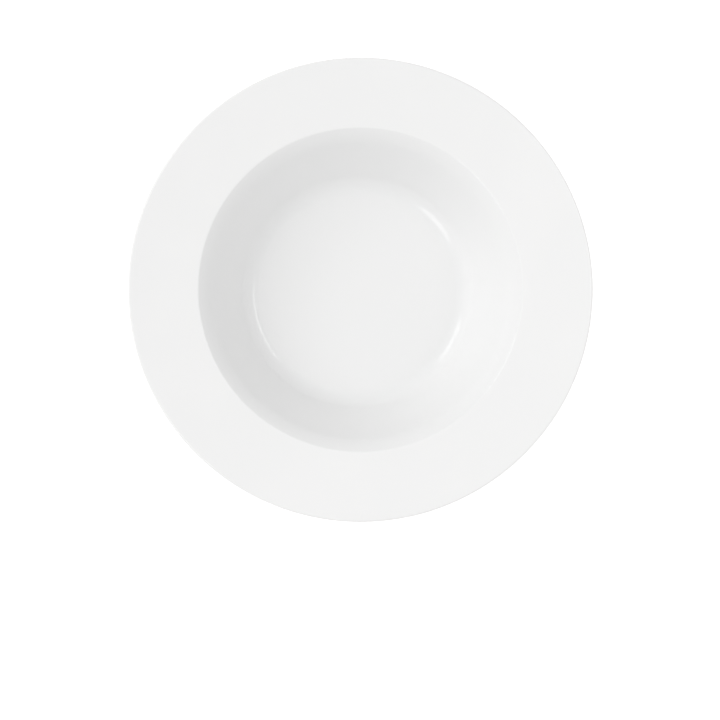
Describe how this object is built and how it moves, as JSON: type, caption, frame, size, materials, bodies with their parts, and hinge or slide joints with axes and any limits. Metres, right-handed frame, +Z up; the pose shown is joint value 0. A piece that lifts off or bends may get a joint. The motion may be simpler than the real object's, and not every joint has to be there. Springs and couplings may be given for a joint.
{
  "type": "rimmed soup plate",
  "caption": "Round white glazed porcelain soup plate with a broad flat rim, a deep sloping well, a level floor and a low unglazed foot ring.",
  "frame": {"origin": "middle of the plane that the foot ring stands on", "axes": "+Z straight up out of the well, square to the plane that the plate stands on; the plate is round, so +X and +Y are any two level directions at right angles"},
  "size_m": [0.24, 0.24, 0.037],
  "materials": {
    "biscuit": "matte",
    "glaze": "gloss"
  },
  "bodies": {
    "root": {"porcelain_body": "biscuit", "glaze_coat": "glaze", "recess_glaze": "glaze"}
  },
  "joints": []
}
